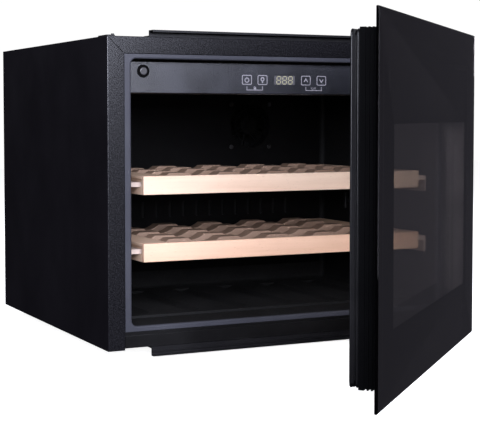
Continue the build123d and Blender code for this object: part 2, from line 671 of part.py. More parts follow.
PRINT_Y, PRINT_T = GLASS_Y0 + GLASS_T, 0.2
with BuildPart() as glass_print:
    with BuildSketch(door_facing(PRINT_Y)):
        with Locations(((GLASS_X0 + GLASS_X1) / 2, (GLASS_Z0 + GLASS_Z1) / 2)):
            Rectangle(GLASS_W - 1.6, GLASS_H - 1.6)
        with Locations(((GLASS_X0 + 75 + GLASS_X1 - 77) / 2, (GLASS_Z0 + 85 + GLASS_Z1 - 131) / 2)):
            Rectangle(GLASS_W - 152, GLASS_H - 216, mode=Mode.SUBTRACT)
    extrude(amount=-PRINT_T)

FRAME_CX, FRAME_CZ = (FRAME_X0 + FRAME_X1) / 2, (FRAME_Z0 + FRAME_Z1) / 2
FRAME_H = FRAME_Z1 - FRAME_Z0
FRAME_Y0 = PRINT_Y + PRINT_T

with BuildPart() as frame_ring:
    with BuildSketch(door_facing(FRAME_Y0)):
        with Locations((FRAME_CX, FRAME_CZ)):
            Rectangle(FRAME_W, FRAME_H)
            Rectangle(FRAME_W - 2 * PROFILE_W, FRAME_H - 2 * PROFILE_W, mode=Mode.SUBTRACT)
    extrude(amount=-(FRAME_Y1 - FRAME_Y0))
    for rib in (4.5, 9.5, 14.5):
        with BuildSketch(door_facing(FRAME_Y0 + rib)):
            with Locations((FRAME_CX, FRAME_CZ)):
                Rectangle(FRAME_W + 2, FRAME_H + 2)
                Rectangle(FRAME_W - 3, FRAME_H - 3, mode=Mode.SUBTRACT)
        extrude(amount=-3, mode=Mode.SUBTRACT)


def frame_member(corners):
    """Part of the frame ring between two mitres; corners outline it in front view."""
    with BuildPart() as member:
        add(frame_ring.part)
        with BuildSketch(door_facing(FRAME_Y0 - 1)):
            with BuildLine():
                Polyline(*corners, close=True)
            make_face()
        extrude(amount=-30, mode=Mode.INTERSECT)
    return member.part


far = FRAME_H / 2 + 2
gap = 0.1
door_frame_top = frame_member(
    [
        (FRAME_X0 - 2 + gap, FRAME_Z1 + 2),
        (FRAME_X1 + 2 - gap, FRAME_Z1 + 2),
        (FRAME_X1 - far - gap, FRAME_Z1 - far),
        (FRAME_X0 + far + gap, FRAME_Z1 - far),
    ]
)
door_frame_bottom = frame_member(
    [
        (FRAME_X0 - 2 + gap, FRAME_Z0 - 2),
        (FRAME_X1 + 2 - gap, FRAME_Z0 - 2),
        (FRAME_X1 - far - gap, FRAME_Z0 + far),
        (FRAME_X0 + far + gap, FRAME_Z0 + far),
    ]
)
door_frame_free_stile = frame_member(
    [
        (FRAME_X0 - 2 - gap, FRAME_Z1 + 2),
        (FRAME_X0 + FRAME_H / 2 - gap, FRAME_CZ),
        (FRAME_X0 - 2 - gap, FRAME_Z0 - 2),
    ]
)
door_frame_hinge_stile = frame_member(
    [
        (FRAME_X1 + 2 + gap, FRAME_Z1 + 2),
        (FRAME_X1 - FRAME_H / 2 + gap, FRAME_CZ),
        (FRAME_X1 + 2 + gap, FRAME_Z0 - 2),
    ]
)

PANE_Y0, PANE_T = -9.0, 4.0
SIGHT_W, SIGHT_H = FRAME_W - 2 * PROFILE_W - 0.4, FRAME_H - 2 * PROFILE_W - 0.4
with BuildPart() as spacer_bar:
    with BuildSketch(door_facing(FRAME_Y0)):
        with Locations((FRAME_CX, FRAME_CZ)):
            Rectangle(SIGHT_W, SIGHT_H)
            Rectangle(SIGHT_W - 16, SIGHT_H - 16, mode=Mode.SUBTRACT)
    extrude(amount=-(PANE_Y0 - FRAME_Y0))

with BuildPart() as inner_glass:
    with BuildSketch(door_facing(PANE_Y0)):
        with Locations((FRAME_CX, FRAME_CZ)):
            Rectangle(SIGHT_W, SIGHT_H)
    extrude(amount=-PANE_T)

GASKET_X0, GASKET_X1, GASKET_Z0, GASKET_Z1 = FRAME_X0 + 2, -0.2, FRAME_Z0 + 2, FRAME_Z1 - 2
GASKET_CX, GASKET_CZ = (GASKET_X0 + GASKET_X1) / 2, (GASKET_Z0 + GASKET_Z1) / 2
GASKET_W, GASKET_H = GASKET_X1 - GASKET_X0, GASKET_Z1 - GASKET_Z0
with BuildPart() as door_gasket:
    for y, thick, inset in ((FRAME_Y1, 3.6, 0), (FRAME_Y1 + 3.6, 2.2, 2.5), (FRAME_Y1 + 5.8, 5.4, 0)):
        with BuildSketch(door_facing(y)) as outline:
            with Locations((GASKET_CX, GASKET_CZ)):
                Rectangle(GASKET_W - 2 * inset, GASKET_H - 2 * inset)
                chamfer(outline.vertices(), 5)
                Rectangle(GASKET_W - 32 + 2 * inset, GASKET_H - 32 + 2 * inset, mode=Mode.SUBTRACT)
        extrude(amount=-thick)
    with BuildSketch(door_facing(FRAME_Y1 + 7)):
        with Locations((GASKET_CX, GASKET_CZ)):
            Rectangle(GASKET_W - 10, GASKET_H - 10)
            Rectangle(GASKET_W - 26, GASKET_H - 26, mode=Mode.SUBTRACT)
    extrude(amount=-3, mode=Mode.SUBTRACT)

with BuildPart(DOOR) as gasket_magnets:
    y0, y1 = FRAME_Y1 + 7.1, FRAME_Y1 + 9.9
    for z in (GASKET_Z0 + 5.2, GASKET_Z1 - 12.8):
        slab(GASKET_X0 + 16, GASKET_X1 - 16, y0, y1, z, z + 7.6)
    for x in (GASKET_X0 + 5.2, GASKET_X1 - 12.8):
        slab(x, x + 7.6, y0, y1, GASKET_Z0 + 16, GASKET_Z1 - 16)


def hinge_leaf(z):
    """Steel ear fixed to the end of the door frame; it turns on the cabinet's pin."""
    with BuildPart(DOOR) as leaf:
        slab(-42, 5, -26, -5, z, z + 2.5)
        slab(-6.5, 5, -6, 0, z, z + 2.5)
        with Locations((0, 0, z)):
            Cylinder(6.5, 2.5, align=(Align.CENTER, Align.CENTER, Align.MIN))
            Cylinder(PIN_BORE, 2.5, align=(Align.CENTER, Align.CENTER, Align.MIN), mode=Mode.SUBTRACT)
    return leaf.part


# ---- Export ----

save(left_side_panel.part, "left_side_panel")
save(right_side_panel.part, "right_side_panel")
save(top_panel.part, "top_panel")
save(base_pan.part, "base_pan")
save(bottom_front_rail.part, "bottom_front_rail")
save(rear_panel.part, "rear_panel")
save(insulation_foam.part, "insulation_foam")
save(inner_liner.part, "inner_liner")
save(evaporator_cover.part, "evaporator_cover")
save(evaporator_plate.part, "evaporator_plate")
save(circulation_fan_frame, "circulation_fan_frame")
save(circulation_fan_rotor, "circulation_fan_rotor")
save(compressor_bulkhead.part, "compressor_bulkhead")
save(compressor.part, "compressor")
save(compressor_relay.part, "compressor_relay")
save(compressor_grommets.part, "compressor_grommets")
save(condenser_tube.part, "condenser_tube")
save(condenser_wires.part, "condenser_wires")
save(condenser_fan_frame, "condenser_fan_frame")
save(condenser_fan_rotor, "condenser_fan_rotor")
save(filter_drier.part, "filter_drier")
save(refrigerant_lines.part, "refrigerant_lines")
save(drip_tray.part, "drip_tray")
save(power_board_box.part, "power_board_box")
save(power_inlet.part, "power_inlet")
save(control_fascia.part, "control_fascia")
save(display_window.part, "display_window")
save(control_pcb.part, "control_pcb")
save(lamp_lens.part, "lamp_lens")
save(temperature_sensor.part, "temperature_sensor")
save(opener_housing.part, "opener_housing")
save(opener_ring.part, "opener_ring")
save(opener_plunger.part, "opener_plunger")
save(opener_spring.part, "opener_spring")
save(top_trim.part, "top_trim")
save(bottom_trim.part, "bottom_trim")
save(hinge_plate_top.part, "hinge_plate_top")
save(hinge_plate_bottom.part, "hinge_plate_bottom")
save(hinge_pins.part, "hinge_pins")
save(pan_head_screws.part, "pan_head_screws")
save(hinge_hole_cover.part, "hinge_hole_cover")
save(shelf_runners.part, "shelf_runners")
for level, name in ((SHELF_LOW, "lower_shelf"), (SHELF_HIGH, "upper_shelf")):
    save(shelf_rail(level), f"{name}_front_rail")
    save(shelf_boards(level), f"{name}_side_boards")
    save(shelf_slats(level), f"{name}_slats")
save(door_glass.part, "door_glass")
save(glass_print.part, "glass_print")
save(door_frame_top, "door_frame_top")
save(door_frame_bottom, "door_frame_bottom")
save(door_frame_free_stile, "door_frame_free_stile")
save(door_frame_hinge_stile, "door_frame_hinge_stile")
save(spacer_bar.part, "spacer_bar")
save(inner_glass.part, "inner_glass")
save(door_gasket.part, "door_gasket")
save(gasket_magnets.part, "gasket_magnets")
save(hinge_leaf(FRAME_Z1), "hinge_leaf_top")
save(hinge_leaf(FRAME_Z0 - 2.5), "hinge_leaf_bottom")
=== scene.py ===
"""A built-in wine cooler with its glass door standing open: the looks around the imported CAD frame.

Lengths in this script are metres in the frame's own axes: +Z is up and the front faces -Y.
"""

import json
import math

import bpy
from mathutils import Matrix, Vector


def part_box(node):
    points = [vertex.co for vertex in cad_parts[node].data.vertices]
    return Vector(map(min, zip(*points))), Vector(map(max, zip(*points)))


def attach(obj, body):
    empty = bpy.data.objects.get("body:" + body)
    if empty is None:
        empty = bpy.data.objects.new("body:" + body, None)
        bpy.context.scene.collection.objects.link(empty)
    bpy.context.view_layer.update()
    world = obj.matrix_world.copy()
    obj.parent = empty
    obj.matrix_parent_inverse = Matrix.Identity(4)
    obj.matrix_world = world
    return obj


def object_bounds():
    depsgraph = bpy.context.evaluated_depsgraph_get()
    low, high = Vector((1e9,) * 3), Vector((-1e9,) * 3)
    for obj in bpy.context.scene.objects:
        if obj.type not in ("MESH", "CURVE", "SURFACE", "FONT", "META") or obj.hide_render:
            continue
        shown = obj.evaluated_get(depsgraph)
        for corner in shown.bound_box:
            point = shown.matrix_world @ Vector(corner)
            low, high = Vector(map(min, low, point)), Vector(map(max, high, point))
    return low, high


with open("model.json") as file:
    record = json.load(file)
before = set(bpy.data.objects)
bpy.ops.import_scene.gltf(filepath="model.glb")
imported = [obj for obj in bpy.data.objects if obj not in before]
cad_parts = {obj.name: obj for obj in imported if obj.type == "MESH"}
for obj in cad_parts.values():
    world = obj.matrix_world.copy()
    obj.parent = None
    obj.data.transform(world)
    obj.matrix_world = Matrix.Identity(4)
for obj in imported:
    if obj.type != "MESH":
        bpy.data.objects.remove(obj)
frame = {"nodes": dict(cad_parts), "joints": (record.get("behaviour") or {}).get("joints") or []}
cad_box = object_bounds()

MM = 0.001
scene = bpy.context.scene
nodes = frame["nodes"]


# ---------------------------------------------------------------- camera, floor and light

def aim(obj, target):
    """Turns a light so that it faces the target point."""
    obj.rotation_mode = "QUATERNION"
    obj.rotation_quaternion = (Vector(target) - obj.location).to_track_quat("-Z", "Y")


def softbox(name, place, target, width, height, power, colour=(1.0, 1.0, 1.0)):
    """A rectangular studio light of the given size and power in watts."""
    data = bpy.data.lights.new(name, "AREA")
    data.shape = "RECTANGLE"
    data.size, data.size_y = width, height
    data.energy = power
    data.color = colour
    lamp = bpy.data.objects.new(name, data)
    scene.collection.objects.link(lamp)
    lamp.location = place
    aim(lamp, target)


CAMERA_DOWN, CAMERA_TURN = 2.94, 26.23  # degrees below the horizon, and round from straight ahead
FLOOR_REACH = 6

camera_data = bpy.data.cameras.new("camera")
camera_data.lens = 97.49
camera_data.sensor_width = 36.0
camera_data.shift_y = -0.06
camera_data.clip_end = 50.0
camera = bpy.data.objects.new("camera", camera_data)
camera.location = (-0.8907, -1.8902, 0.3200)
camera.rotation_euler = (math.radians(90 - CAMERA_DOWN), 0, math.radians(-CAMERA_TURN))
scene.collection.objects.link(camera)
scene.camera = camera
scene.view_settings.view_transform = "Standard"

floor_z = cad_box[0].z - 1 * MM
mesh = bpy.data.meshes.new("floor")
corners = [(x * FLOOR_REACH, y * FLOOR_REACH, floor_z) for x, y in ((-1, -1), (1, -1), (1, 1), (-1, 1))]
mesh.from_pydata(corners, [], [(0, 1, 2, 3)])
floor = bpy.data.objects.new("floor", mesh)
scene.collection.objects.link(floor)
floor.visible_diffuse = False
floor.visible_glossy = False
floor.visible_transmission = False

softbox("key", (-0.85, -2.75, 1.0), (0.0, -0.25, 0.25), 2.2, 1.1, 190.0, (0.83, 0.855, 1.0))
softbox("front", (0.30, -2.75, 0.80), (-0.25, -0.25, 0.38), 0.45, 0.45, 14.0, (0.80, 0.83, 1.0))
softbox("edge", (0.76, -2.32, 0.35), (-0.141, -0.648, 0.25), 0.16, 0.9, 0.35, (0.85, 0.85, 1.0))
softbox("overhead", (0.2, 0.1, 2.6), (0.0, 0.0, 0.3), 1.6, 1.6, 14.0, (0.88, 0.9, 1.0))
softbox("back_right", (1.5, 2.0, 1.9), (0.0, 0.2, 0.2), 1.2, 1.2, 30.0, (0.88, 0.9, 1.0))
softbox("back_left", (-1.9, 1.6, 2.0), (0.0, 0.2, 0.2), 1.2, 1.2, 16.0, (0.88, 0.9, 1.0))


# ---------------------------------------------------------------- material building blocks

# numbers of the Mix node's sockets, whose names repeat for numbers and colours
FACTOR, NUMBER_A, NUMBER_B, COLOUR_A, COLOUR_B = 0, 2, 3, 6, 7
NUMBER_OUT, COLOUR_OUT = 0, 2

# the range that fractal noise mostly fills, for one noise and for the sum of two
NOISE, TWO_NOISES = (0.3, 0.7), (0.7, 1.3)


class Finish:
    """A procedural material. Places are read in the frame's own metres, so grain sizes are real."""

    def __init__(self, name):
        self.material = bpy.data.materials.new(name)
        self.material.use_nodes = True
        self.tree = self.material.node_tree
        self.shader = self.tree.nodes["Principled BSDF"]
        self.place = self.tree.nodes.new("ShaderNodeTexCoord").outputs["Object"]

    def set(self, **values):
        """Sets sockets of the shader: rough=0.4 style short names for the common ones."""
        names = {"rough": "Roughness", "metal": "Metallic", "spec": "Specular IOR Level", "ior": "IOR",
                 "through": "Transmission Weight", "glow": "Emission Strength",
                 "glow_colour": "Emission Color", "colour": "Base Color", "normal": "Normal"}
        for key, value in values.items():
            self.put(self.shader.inputs[names[key]], value)

    def put(self, socket, value):
        """Links or sets one socket."""
        if isinstance(value, bpy.types.NodeSocket):
            self.tree.links.new(value, socket)
        elif socket.type == "RGBA" and len(value) == 3:
            socket.default_value = (*value, 1.0)
        else:
            socket.default_value = value

    def node(self, kind, inputs, **settings):
        """Adds a node; inputs are keyed by socket name or number."""
        made = self.tree.nodes.new("ShaderNode" + kind)
        for key, value in settings.items():
            setattr(made, key, value)
        for key, value in inputs.items():
            self.put(made.inputs[key], value)
        return made

    def along(self, axis):
        """The place along one axis, "X", "Y" or "Z"."""
        return self.node("SeparateXYZ", {0: self.place}).outputs[axis]

    def stretched(self, factors):
        """The place, scaled along X, Y and Z."""
        return self.node("VectorMath", {0: self.place, 1: factors}, operation="MULTIPLY").outputs[0]

    def noise(self, scale, detail=3.0, rough=0.55, stretch=None, warp=0.0):
        """Fractal noise of about 1/scale metres a blob, from 0 to 1."""
        vector = self.stretched(stretch) if stretch else self.place
        return self.node("TexNoise", {"Vector": vector, "Scale": scale, "Detail": detail,
                                      "Roughness": rough, "Distortion": warp}).outputs["Fac"]

    def cells(self, scale):
        """Distance to the nearest point of a scatter about 1/scale metres apart."""
        return self.node("TexVoronoi", {"Vector": self.place, "Scale": scale}).outputs["Distance"]

    def span(self, value, low, high, out_low, out_high):
        """Maps low..high to out_low..out_high and clamps."""
        return self.node("MapRange", {"Value": value, "From Min": low, "From Max": high,
                                      "To Min": out_low, "To Max": out_high}).outputs["Result"]

    def mix(self, factor, first, second):
        """Mixes two colours."""
        inputs = {FACTOR: factor, COLOUR_A: first, COLOUR_B: second}
        return self.node("Mix", inputs, data_type="RGBA").outputs[COLOUR_OUT]

    def blend(self, factor, first, second):
        """Mixes two numbers."""
        return self.node("Mix", {FACTOR: factor, NUMBER_A: first, NUMBER_B: second}).outputs[NUMBER_OUT]

    def sum(self, first, second, operation="ADD"):
        """Adds, or otherwise combines, two numbers."""
        return self.node("Math", {0: first, 1: second}, operation=operation).outputs[0]

    def bump(self, height, depth, strength=1.0):
        """Bump from a height of 0 to 1, which stands for depth metres."""
        inputs = {"Height": height, "Distance": depth, "Strength": strength}
        return self.node("Bump", inputs).outputs["Normal"]


front_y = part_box("left_side_panel")[0].y
top_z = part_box("top_panel")[1].z


def shade(colour, factor):
    """A colour made lighter or darker."""
    return tuple(min(1.0, c * factor) for c in colour)


def mottled(f, pattern, colour, below, above):
    """A colour that wanders between two shades of itself as the pattern does."""
    return f.mix(f.span(pattern, *NOISE, 0.0, 1.0), shade(colour, below), shade(colour, above))


def moulded(name, colour, rough, spread=0.06, vary=0.18, grain=900.0, depth=0.00002, **more):
    """Painted, moulded or cast surface: soft mottling, uneven gloss and a fine grain."""
    f = Finish(name)
    cloud = f.noise(14.0, 4.0)
    fine = f.noise(grain, 2.0)
    f.set(colour=mottled(f, cloud, colour, 1 - vary, 1 + vary),
          rough=f.span(f.sum(cloud, fine), *TWO_NOISES, rough - spread, rough + spread),
          normal=f.bump(fine, depth), **more)
    return f.material


def brushed(name, colour, rough, stretch, grain=60.0, depth=0.00001, **more):
    """Metal with fine lines along the axis whose stretch is small, and cloudy tarnish."""
    f = Finish(name)
    lines = f.noise(grain, 4.0, 0.6, stretch)
    cloud = f.noise(22.0, 4.0, 0.6)
    f.set(colour=mottled(f, cloud, colour, 0.78, 1.1),
          rough=f.span(f.sum(lines, cloud), *TWO_NOISES, rough - 0.1, rough + 0.12),
          normal=f.bump(lines, depth), metal=1.0, **more)
    return f.material


def casing(name, front_colour, side_colour):
    """Sheet steel: grained powder coat on the front flange, satin paint elsewhere, duller on top."""
    f = Finish(name)
    front = f.span(f.along("Y"), front_y + 0.1 * MM, front_y + 0.7 * MM, 1.0, 0.0)
    top = f.span(f.along("Z"), top_z - 0.8 * MM, top_z - 0.3 * MM, 0.0, 0.42)
    grain = f.noise(600.0, 3.0, 0.7)
    pits = f.cells(800.0)
    cloud = f.noise(9.0, 4.0)
    peel = f.noise(400.0, 1.0)
    speckle = f.span(grain, 0.38, 0.62, 0.0, 1.0)
    front_paint = f.mix(speckle, shade(front_colour, 0.4), shade(front_colour, 1.7))
    side_paint = mottled(f, cloud, side_colour, 0.85, 1.15)
    front_rough = f.span(grain, 0.35, 0.65, 0.19, 0.31)
    side_rough = f.sum(f.span(cloud, *NOISE, 0.32, 0.40), top)
    height = f.sum(f.sum(f.sum(grain, pits), front, "MULTIPLY"), f.sum(peel, 0.12, "MULTIPLY"))
    f.set(colour=f.mix(front, side_paint, front_paint), rough=f.blend(front, side_rough, front_rough),
          normal=f.bump(height, 0.00001, 0.6))
    return f.material


def liner(name, lit_flange_colour, shaded_inner_colour):
    """Vacuum-formed lining: satin on the front flange, duller inside. The flange's lighter colour is a
    painted highlight and the far darker inside is painted shade.
    """
    f = Finish(name)
    front = f.span(f.along("Y"), front_y + 1.0 * MM, front_y + 7.0 * MM, 1.0, 0.0)
    cloud = f.noise(12.0, 4.0)
    fine = f.noise(450.0, 2.0)
    # one plastic throughout: the lit flange and the shaded inside are painted in as two colours
    inner = mottled(f, cloud, shaded_inner_colour, 0.85, 1.15)
    flange = mottled(f, cloud, lit_flange_colour, 0.9, 1.1)
    f.set(colour=f.mix(front, inner, flange),
          rough=f.span(f.sum(f.sum(cloud, fine), front, "SUBTRACT"), 0.0, 1.2, 0.32, 0.85),
          normal=f.bump(fine, 0.00001), spec=0.3)
    return f.material


def wood(name, along, pale, dark):
    """Beech: long soft growth streaks and the short dark flecks of its rays.

    along is the axis of the grain, 0 for X or 1 for Y.
    """
    f = Finish(name)
    long, across = [1.0, 1.0, 1.0], [1.0, 1.0, 1.0]
    long[along] = 0.045
    across[along] = 0.22
    streaks = f.noise(110.0, 5.0, 0.62, tuple(long), warp=0.4)
    bands = f.noise(26.0, 3.0, 0.5, tuple(long), warp=0.8)
    flecks = f.noise(900.0, 2.0, 0.5, tuple(across))
    cloud = f.noise(5.0, 2.0)
    tone = f.sum(f.sum(streaks, bands), f.sum(cloud, 0.6, "MULTIPLY"))
    body = f.mix(f.span(tone, 0.95, 1.65, 0.0, 1.0), dark, pale)
    fleck = f.span(flecks, 0.66, 0.76, 0.0, 0.55)
    f.set(colour=f.mix(fleck, body, shade(dark, 0.52)),
          rough=f.span(streaks, *NOISE, 0.42, 0.56),
          normal=f.bump(f.sum(streaks, flecks, "SUBTRACT"), 0.00006, 0.6), spec=0.35)
    return f.material


def pane(name, tint):
    """Flat float glass with a faint film of dust. Rays from lamps pass through it, only tinted."""
    f = Finish(name)
    smear = f.noise(7.0, 4.0, 0.6, warp=0.6)
    wave = f.noise(3.0, 1.0)
    f.set(colour=tint, through=1.0, ior=1.5, rough=f.span(smear, 0.45, 0.85, 0.0, 0.02),
          normal=f.bump(wave, 0.00003, 0.2))
    end = next(n for n in f.tree.nodes if n.type == "OUTPUT_MATERIAL").inputs["Surface"]
    clear = f.tree.nodes.new("ShaderNodeBsdfTransparent")
    clear.inputs["Color"].default_value = (*shade(tint, 0.8), 1.0)
    rays = f.tree.nodes.new("ShaderNodeLightPath")
    both = f.tree.nodes.new("ShaderNodeMixShader")
    f.tree.links.new(rays.outputs["Is Shadow Ray"], both.inputs[0])
    f.tree.links.new(end.links[0].from_socket, both.inputs[1])
    f.tree.links.new(clear.outputs[0], both.inputs[2])
    f.tree.links.new(both.outputs[0], end)
    return f.material


def foam(name, foam_colour, gap_shade_colour):
    """Pale foam, with a dark band behind the joints of the front flange: painted shade for the gaps there.
    """
    f = Finish(name)
    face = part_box("insulation_foam")[0].y
    # painted shade: the band of foam seen through the flange joints is made dark
    gap_shade = f.span(f.along("Y"), face + 3.0 * MM, face + 4.0 * MM, 1.0, 0.0)
    cell = f.noise(300.0, 3.0)
    bare = mottled(f, cell, foam_colour, 0.85, 1.1)
    f.set(colour=f.mix(gap_shade, bare, gap_shade_colour), rough=f.span(cell, *NOISE, 0.8, 0.95),
          normal=f.bump(cell, 0.0005))
    return f.material


# ---------------------------------------------------------------- the object's materials

finishes = {
    "side_steel": casing("casing_steel", (0.0042, 0.0040, 0.0052), (0.0070, 0.0060, 0.0086)),
    "textured_steel": casing("rear_steel", (0.020, 0.020, 0.022), (0.016, 0.016, 0.018)),
    "rail_steel": moulded("rail_paint", (0.0030, 0.0028, 0.003), 0.36, spec=0.3),
    "zinc_steel": brushed("galvanised_steel", (0.52, 0.53, 0.55), 0.38, (1.0, 0.1, 1.0)),
    # liner: the flange colour is a painted highlight, the inside colour painted shade
    "liner_plastic": liner("liner", (0.040, 0.041, 0.050), (0.0006, 0.0006, 0.0006)),
    "cover_plastic": moulded("rear_cover", (0.0014, 0.0013, 0.0014), 0.55, spec=0.08),
    "fascia_plastic": moulded("fascia", (0.0070, 0.0076, 0.0115), 0.40, 0.10, 0.6, 600.0, 0.0003,
                              spec=0.8),
    "black_plastic": moulded("black_plastic", (0.0032, 0.0031, 0.0036), 0.42, spec=0.3),
    "trim_plastic": moulded("trim", (0.0050, 0.0048, 0.0056), 0.40, spec=0.3),
    "gasket_rubber": moulded("gasket", (0.0035, 0.0034, 0.0038), 0.34, spec=0.25),
    "grommet_rubber": moulded("grommet", (0.018, 0.018, 0.018), 0.60),
    "magnet_rubber": moulded("magnet", (0.06, 0.055, 0.05), 0.60),
    "beech": wood("beech_front", 0, (0.80, 0.61, 0.455), (0.65, 0.45, 0.32)),
    "smoked_glass": pane("smoked_glass", (0.80, 0.755, 0.72)),
    "clear_glass": pane("clear_glass", (0.92, 0.94, 0.94)),
    "border_print": moulded("border_print", (0.0016, 0.0015, 0.0020), 0.5, spec=0.0),
    "spacer_aluminium": brushed("spacer", (0.06, 0.06, 0.062), 0.4, (1.0, 1.0, 0.1)),
    "evaporator_aluminium": brushed("evaporator", (0.8, 0.81, 0.82), 0.35, (0.1, 1.0, 1.0)),
    # the foam's second colour is painted shade, for the gaps behind the flange joints
    "foam": foam("foam", (0.82, 0.72, 0.48), (0.002, 0.002, 0.002)),
    "compressor_paint": moulded("compressor_paint", (0.010, 0.010, 0.011), 0.22),
    "copper": brushed("copper", (0.72, 0.36, 0.22), 0.32, (1.0, 1.0, 0.3)),
    "coil_paint": moulded("coil_paint", (0.012, 0.012, 0.013), 0.36),
    "display_lens": moulded("display_lens", (0.09, 0.088, 0.095), 0.28, 0.03, 0.05),
    "circuit_board": moulded("circuit_board", (0.02, 0.14, 0.05), 0.4),
    "lamp_plastic": moulded("lamp_cover", (0.78, 0.79, 0.82), 0.35),
    "screw_steel": brushed("screw_steel", (0.10, 0.10, 0.105), 0.3, (1.0, 1.0, 1.0), 900.0),
}

# nodes that look unlike the rest of their slot, by name or by a part of it
own_finish = {
    "opener_plunger": moulded("plunger_face", (0.024, 0.022, 0.024), 0.34, 0.04, 0.15, 900.0, 0.000005,
                              spec=0.8),
    "temperature_sensor": finishes["black_plastic"],
    # the ring is painted near-black and matt: painted shade of a recess round the plunger
    "opener_ring": moulded("ring_painted_shade", (0.0012, 0.0011, 0.0013), 0.7, spec=0.05),
    "lower_shelf_front_rail": wood("beech_warm", 0, (0.77, 0.51, 0.355), (0.63, 0.39, 0.26)),
    "circulation_fan_rotor": moulded("fan_plastic", (0.0014, 0.0014, 0.0015), 0.7, spec=0.08),
    "side_boards": wood("beech_boards", 1, (0.74, 0.54, 0.39), (0.60, 0.41, 0.28)),
    "runner": moulded("runner_plastic", (0.50, 0.40, 0.335), 0.45, grain=500.0),
    # painted shade: the slats are the same beech as the rails, made far darker
    "slats": wood("beech_slats_painted_shade", 0, (0.27, 0.18, 0.125), (0.19, 0.122, 0.083)),
    "door_frame": moulded("door_frame", (0.0010, 0.0010, 0.0012), 0.5, spec=0.03),
}

for node_name, obj in nodes.items():
    own = next((finish for part, finish in own_finish.items() if part in node_name), None)
    for place, old in enumerate(obj.data.materials):
        obj.data.materials[place] = own or finishes[old.name.split(".")[0]]

f = Finish("floor")
f.set(colour=f.mix(f.noise(3.0), (0.86, 0.86, 0.87), (0.9, 0.9, 0.9)), rough=0.9, glow=0.92,
      glow_colour=(1.0, 1.0, 1.0))
floor.data.materials.append(f.material)

# the camera sees a white backdrop; the object is lit by dim surroundings, brighter on one side
BACKDROP = 1.02
SKY_SIDE, SKY_COLOUR = (0.913, 0.402, 0.05), (0.84, 0.81, 1.0, 1.0)
SKY_FROM, SKY_DIM, SKY_BRIGHT = 0.2, 0.012, 0.055  # cosine from which it grows, and both strengths

world = bpy.data.worlds.new("studio")
scene.world = world
world.use_nodes = True
sky = world.node_tree
sky.nodes.clear()
out = sky.nodes.new("ShaderNodeOutputWorld")
both = sky.nodes.new("ShaderNodeMixShader")
seen = sky.nodes.new("ShaderNodeBackground")
lit = sky.nodes.new("ShaderNodeBackground")
path = sky.nodes.new("ShaderNodeLightPath")
seen.inputs["Color"].default_value = (1.0, 1.0, 1.0, 1.0)
seen.inputs["Strength"].default_value = BACKDROP
direction = sky.nodes.new("ShaderNodeTexCoord").outputs["Generated"]
toward = sky.nodes.new("ShaderNodeVectorMath")
toward.operation = "DOT_PRODUCT"
toward.inputs[1].default_value = SKY_SIDE
sky.links.new(direction, toward.inputs[0])
lobe = sky.nodes.new("ShaderNodeMapRange")
sky.links.new(toward.outputs["Value"], lobe.inputs["Value"])
lobe.inputs["From Min"].default_value = SKY_FROM
lobe.inputs["From Max"].default_value = 1.0
lobe.inputs["To Min"].default_value = SKY_DIM
lobe.inputs["To Max"].default_value = SKY_BRIGHT
sky.links.new(lobe.outputs["Result"], lit.inputs["Strength"])
lit.inputs["Color"].default_value = SKY_COLOUR
sky.links.new(path.outputs["Is Camera Ray"], both.inputs[0])
sky.links.new(lit.outputs[0], both.inputs[1])
sky.links.new(seen.outputs[0], both.inputs[2])
sky.links.new(both.outputs[0], out.inputs["Surface"])


# ---------------------------------------------------------------- printed marks and the lit display

def mesh_piece(name, points, faces, material):
    """A new mesh object in the scene."""
    data = bpy.data.meshes.new(name)
    data.from_pydata(points, [], faces)
    data.materials.append(material)
    piece = bpy.data.objects.new(name, data)
    scene.collection.objects.link(piece)
    return piece


def solid_piece(name, outlines, y_back, y_front, material):
    """Makes one mesh of flat shapes in the XZ plane, each given thickness between two depths."""
    points, faces = [], []
    for outline in outlines:
        ahead = outline[1:] + outline[:1]
        if sum(x0 * z1 - x1 * z0 for (x0, z0), (x1, z1) in zip(outline, ahead)) < 0:
            outline = outline[::-1]  # anticlockwise from the front, so that the faces look outward
        start, count = len(points), len(outline)
        points += [(x, y_front, z) for x, z in outline] + [(x, y_back, z) for x, z in outline]
        faces.append(tuple(start + i for i in range(count)))
        faces.append(tuple(start + count + i for i in reversed(range(count))))
        for i in range(count):
            j = (i + 1) % count
            faces.append((start + j, start + i, start + count + i, start + count + j))
    return mesh_piece(name, points, faces, material)


SHARPEST = 0.4  # keeps the mitre of a sharp corner short


def quads(line, width, closed=False):
    """The quadrilaterals of a line of even width with mitred corners. The line is a list of (x, z)."""
    count = len(line)
    sides = []
    for i, point in enumerate(line):
        before = Vector(line[(i - 1) % count]) if closed or i else None
        after = Vector(line[(i + 1) % count]) if closed or i < count - 1 else None
        here = Vector(point)
        one = (here - before).normalized() if before is not None else (after - here).normalized()
        two = (after - here).normalized() if after is not None else one
        normal = Vector((-(one + two).y, (one + two).x)).normalized()
        reach = width / 2 / max(SHARPEST, normal.dot(Vector((-one.y, one.x))))
        sides.append((here + normal * reach, here - normal * reach))
    pairs = [(i, (i + 1) % count) for i in range(count if closed else count - 1)]
    return [[sides[a][0], sides[b][0], sides[b][1], sides[a][1]] for a, b in pairs]


def rounded(x, z, wide, high, radius, steps=5):
    """The outline of a rounded rectangle centred at x, z."""
    line = []
    for turn, (sx, sz) in enumerate(((1, 1), (-1, 1), (-1, -1), (1, -1))):
        cx, cz = x + sx * (wide / 2 - radius), z + sz * (high / 2 - radius)
        for k in range(steps + 1):
            a = math.pi / 2 * (turn + k / steps)
            line.append((cx + radius * math.cos(a), cz + radius * math.sin(a)))
    return line


def arc(x, z, radius, start, end, steps=16):
    """Points on an arc, angles in degrees from +X."""
    angles = [math.radians(start + (end - start) * k / steps) for k in range(steps + 1)]
    return [(x + radius * math.cos(a), z + radius * math.sin(a)) for a in angles]


